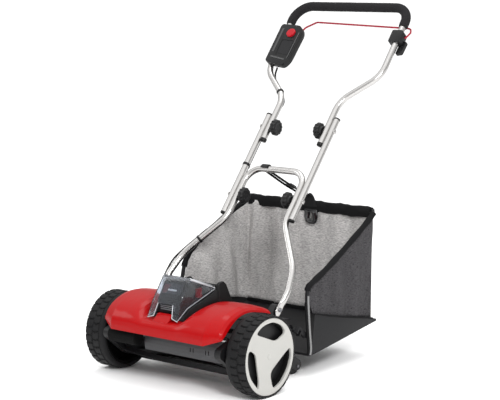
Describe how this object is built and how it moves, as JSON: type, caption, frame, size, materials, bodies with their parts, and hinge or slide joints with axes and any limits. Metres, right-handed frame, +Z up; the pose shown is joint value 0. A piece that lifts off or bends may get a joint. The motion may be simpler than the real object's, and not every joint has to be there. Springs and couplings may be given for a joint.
{
  "type": "reel mower",
  "caption": "Battery reel mower with a red reel cover, clear battery lid, spoked wheels, folding tube handle with a foam grip and bail, rear roller and a hooked-on mesh grass bag.",
  "frame": {"origin": "middle of the machine's outline on the ground", "axes": "+X along the reel towards the end without the belt; -Y the way it drives; +Z up"},
  "size_m": [0.574, 0.9319, 1.025],
  "materials": {
    "red_shell": "glossy moulded",
    "red_control": "glossy moulded",
    "red_wire": "powder coated",
    "black_moulding": "fine texture",
    "black_steel": "powder coated",
    "blade_steel": "ground",
    "guard_steel": "satin",
    "tube_aluminium": "satin",
    "silver_trim": "silver paint",
    "tyre": "moulded tread",
    "belt": "plain",
    "foam": "closed-cell foam",
    "clear_lid": "clear smoked polycarbonate",
    "mesh": "coarse open weave",
    "webbing": "woven strap"
  },
  "bodies": {
    "chassis": {"side_plate_left": "black_steel", "side_plate_right": "black_steel", "side_casing_left": "black_moulding", "side_casing_right": "black_moulding", "axle_left": "blade_steel", "axle_right": "blade_steel", "reel_bearing_left": "blade_steel", "reel_bearing_right": "blade_steel", "reel_cover": "red_shell", "front_guard": "guard_steel", "rear_deflector": "black_steel", "bed_knife": "blade_steel", "bed_knife_bar": "black_steel", "motor_housing": "black_moulding", "drive_belt": "belt", "battery_housing": "black_moulding", "lid_hinge_pin": "blade_steel", "battery_pack": "black_moulding", "lower_handle": "tube_aluminium", "cable_lower": "black_moulding"},
    "wheel_left": {"tyre_left": "tyre", "wheel_rim_left": "black_moulding", "hub_cap_left": "silver_trim"},
    "wheel_right": {"tyre_right": "tyre", "wheel_rim_right": "black_moulding", "hub_cap_right": "silver_trim"},
    "reel": {"reel_shaft": "blade_steel", "reel_disc_left": "black_steel", "reel_disc_right": "black_steel", "reel_pulley": "black_moulding", "reel_blade_1": "blade_steel", "reel_blade_2": "blade_steel", "reel_blade_3": "blade_steel", "reel_blade_4": "blade_steel", "reel_blade_5": "blade_steel"},
    "motor_rotor": {"motor_pulley": "blade_steel"},
    "roller_carrier": {"roller_arm_left": "black_moulding", "roller_arm_right": "black_moulding", "roller_axle": "blade_steel"},
    "roller": {"rear_roller": "black_moulding"},
    "lid": {"battery_lid": "clear_lid"},
    "battery_release": {"battery_release_button": "red_control"},
    "side_tubes": {"side_tube_left": "tube_aluminium", "side_tube_right": "tube_aluminium", "cable_middle": "black_moulding"},
    "lower_knob_left": {"lower_knob_left": "black_moulding"},
    "lower_knob_right": {"lower_knob_right": "black_moulding"},
    "upper_knob_left": {"upper_knob_left": "black_moulding"},
    "upper_knob_right": {"upper_knob_right": "black_moulding"},
    "upper_handle": {"upper_handle": "tube_aluminium", "foam_grip": "foam", "switch_box": "black_moulding", "bail_bracket": "black_moulding", "cable_upper": "black_moulding"},
    "bail": {"bail_lever": "red_wire"},
    "safety_button": {"safety_button": "red_control"},
    "bag": {"bag_frame": "black_steel", "bag_tray": "black_moulding", "bag_fabric": "mesh", "bag_strap": "webbing"}
  },
  "joints": [
    {"name": "wheel_left_spin", "type": "hinge", "parent": "chassis", "child": "wheel_left", "pos_m": [-0.25, -0.33347, 0.11], "axis": [1, 0, 0], "continuous": true},
    {"name": "wheel_right_spin", "type": "hinge", "parent": "chassis", "child": "wheel_right", "pos_m": [0.25, -0.33347, 0.11], "axis": [1, 0, 0], "continuous": true},
    {"name": "reel_spin", "type": "hinge", "parent": "chassis", "child": "reel", "pos_m": [0, -0.34547, 0.109], "axis": [1, 0, 0], "continuous": true},
    {"name": "motor_spin", "type": "hinge", "parent": "chassis", "child": "motor_rotor", "pos_m": [-0.2, -0.43347, 0.1245], "axis": [1, 0, 0], "continuous": true},
    {"name": "height_adjust", "type": "hinge", "parent": "chassis", "child": "roller_carrier", "pos_m": [0, -0.21347, 0.085], "axis": [1, 0, 0], "range_deg": [-10, 0]},
    {"name": "roller_spin", "type": "hinge", "parent": "roller_carrier", "child": "roller", "pos_m": [0, -0.09847, 0.025], "axis": [1, 0, 0], "continuous": true},
    {"name": "lid_hinge", "type": "hinge", "parent": "chassis", "child": "lid", "pos_m": [0, -0.27147, 0.262], "axis": [-1, 0, 0], "range_deg": [0, 100]},
    {"name": "battery_release_press", "type": "slide", "parent": "chassis", "child": "battery_release", "axis": [-1, 0, 0], "range_m": [0, 0.003], "stiffness_N_per_m": 300, "springref_m": -0.004},
    {"name": "lower_fold", "type": "hinge", "parent": "chassis", "child": "side_tubes", "pos_m": [0, 0.01371, 0.46998], "axis": [1, 0, 0], "range_deg": [0, 20]},
    {"name": "upper_fold", "type": "hinge", "parent": "side_tubes", "child": "upper_handle", "pos_m": [0, 0.166, 0.65805], "axis": [1, 0, 0], "range_deg": [0, 140]},
    {"name": "bail_squeeze", "type": "hinge", "parent": "upper_handle", "child": "bail", "pos_m": [0, 0.38749, 0.92521], "axis": [1, 0, 0], "range_deg": [0, 3.5], "stiffness_Nm_per_rad": 0.5, "springref_deg": -20.05},
    {"name": "safety_button_press", "type": "slide", "parent": "upper_handle", "child": "safety_button", "axis": [0, 0.7771, -0.6293], "range_m": [0, 0.0045], "stiffness_N_per_m": 300, "springref_m": -0.004},
    {"name": "bag_lift_off", "type": "slide", "parent": "chassis", "child": "bag", "axis": [0, 0.6293, 0.7771], "range_m": [0, 0.25]},
    {"name": "lower_knob_left_turn", "type": "hinge", "parent": "chassis", "child": "lower_knob_left", "pos_m": [-0.08, 0.01371, 0.46998], "axis": [1, 0, 0], "continuous": true},
    {"name": "lower_knob_right_turn", "type": "hinge", "parent": "chassis", "child": "lower_knob_right", "pos_m": [0.08, 0.01371, 0.46998], "axis": [1, 0, 0], "continuous": true},
    {"name": "upper_knob_left_turn", "type": "hinge", "parent": "side_tubes", "child": "upper_knob_left", "pos_m": [-0.08, 0.166, 0.65805], "axis": [1, 0, 0], "continuous": true},
    {"name": "upper_knob_right_turn", "type": "hinge", "parent": "side_tubes", "child": "upper_knob_right", "pos_m": [0.08, 0.166, 0.65805], "axis": [1, 0, 0], "continuous": true}
  ],
  "couplings": [
    {"joint": "motor_spin", "follows": "reel_spin", "ratio": 3}
  ]
}
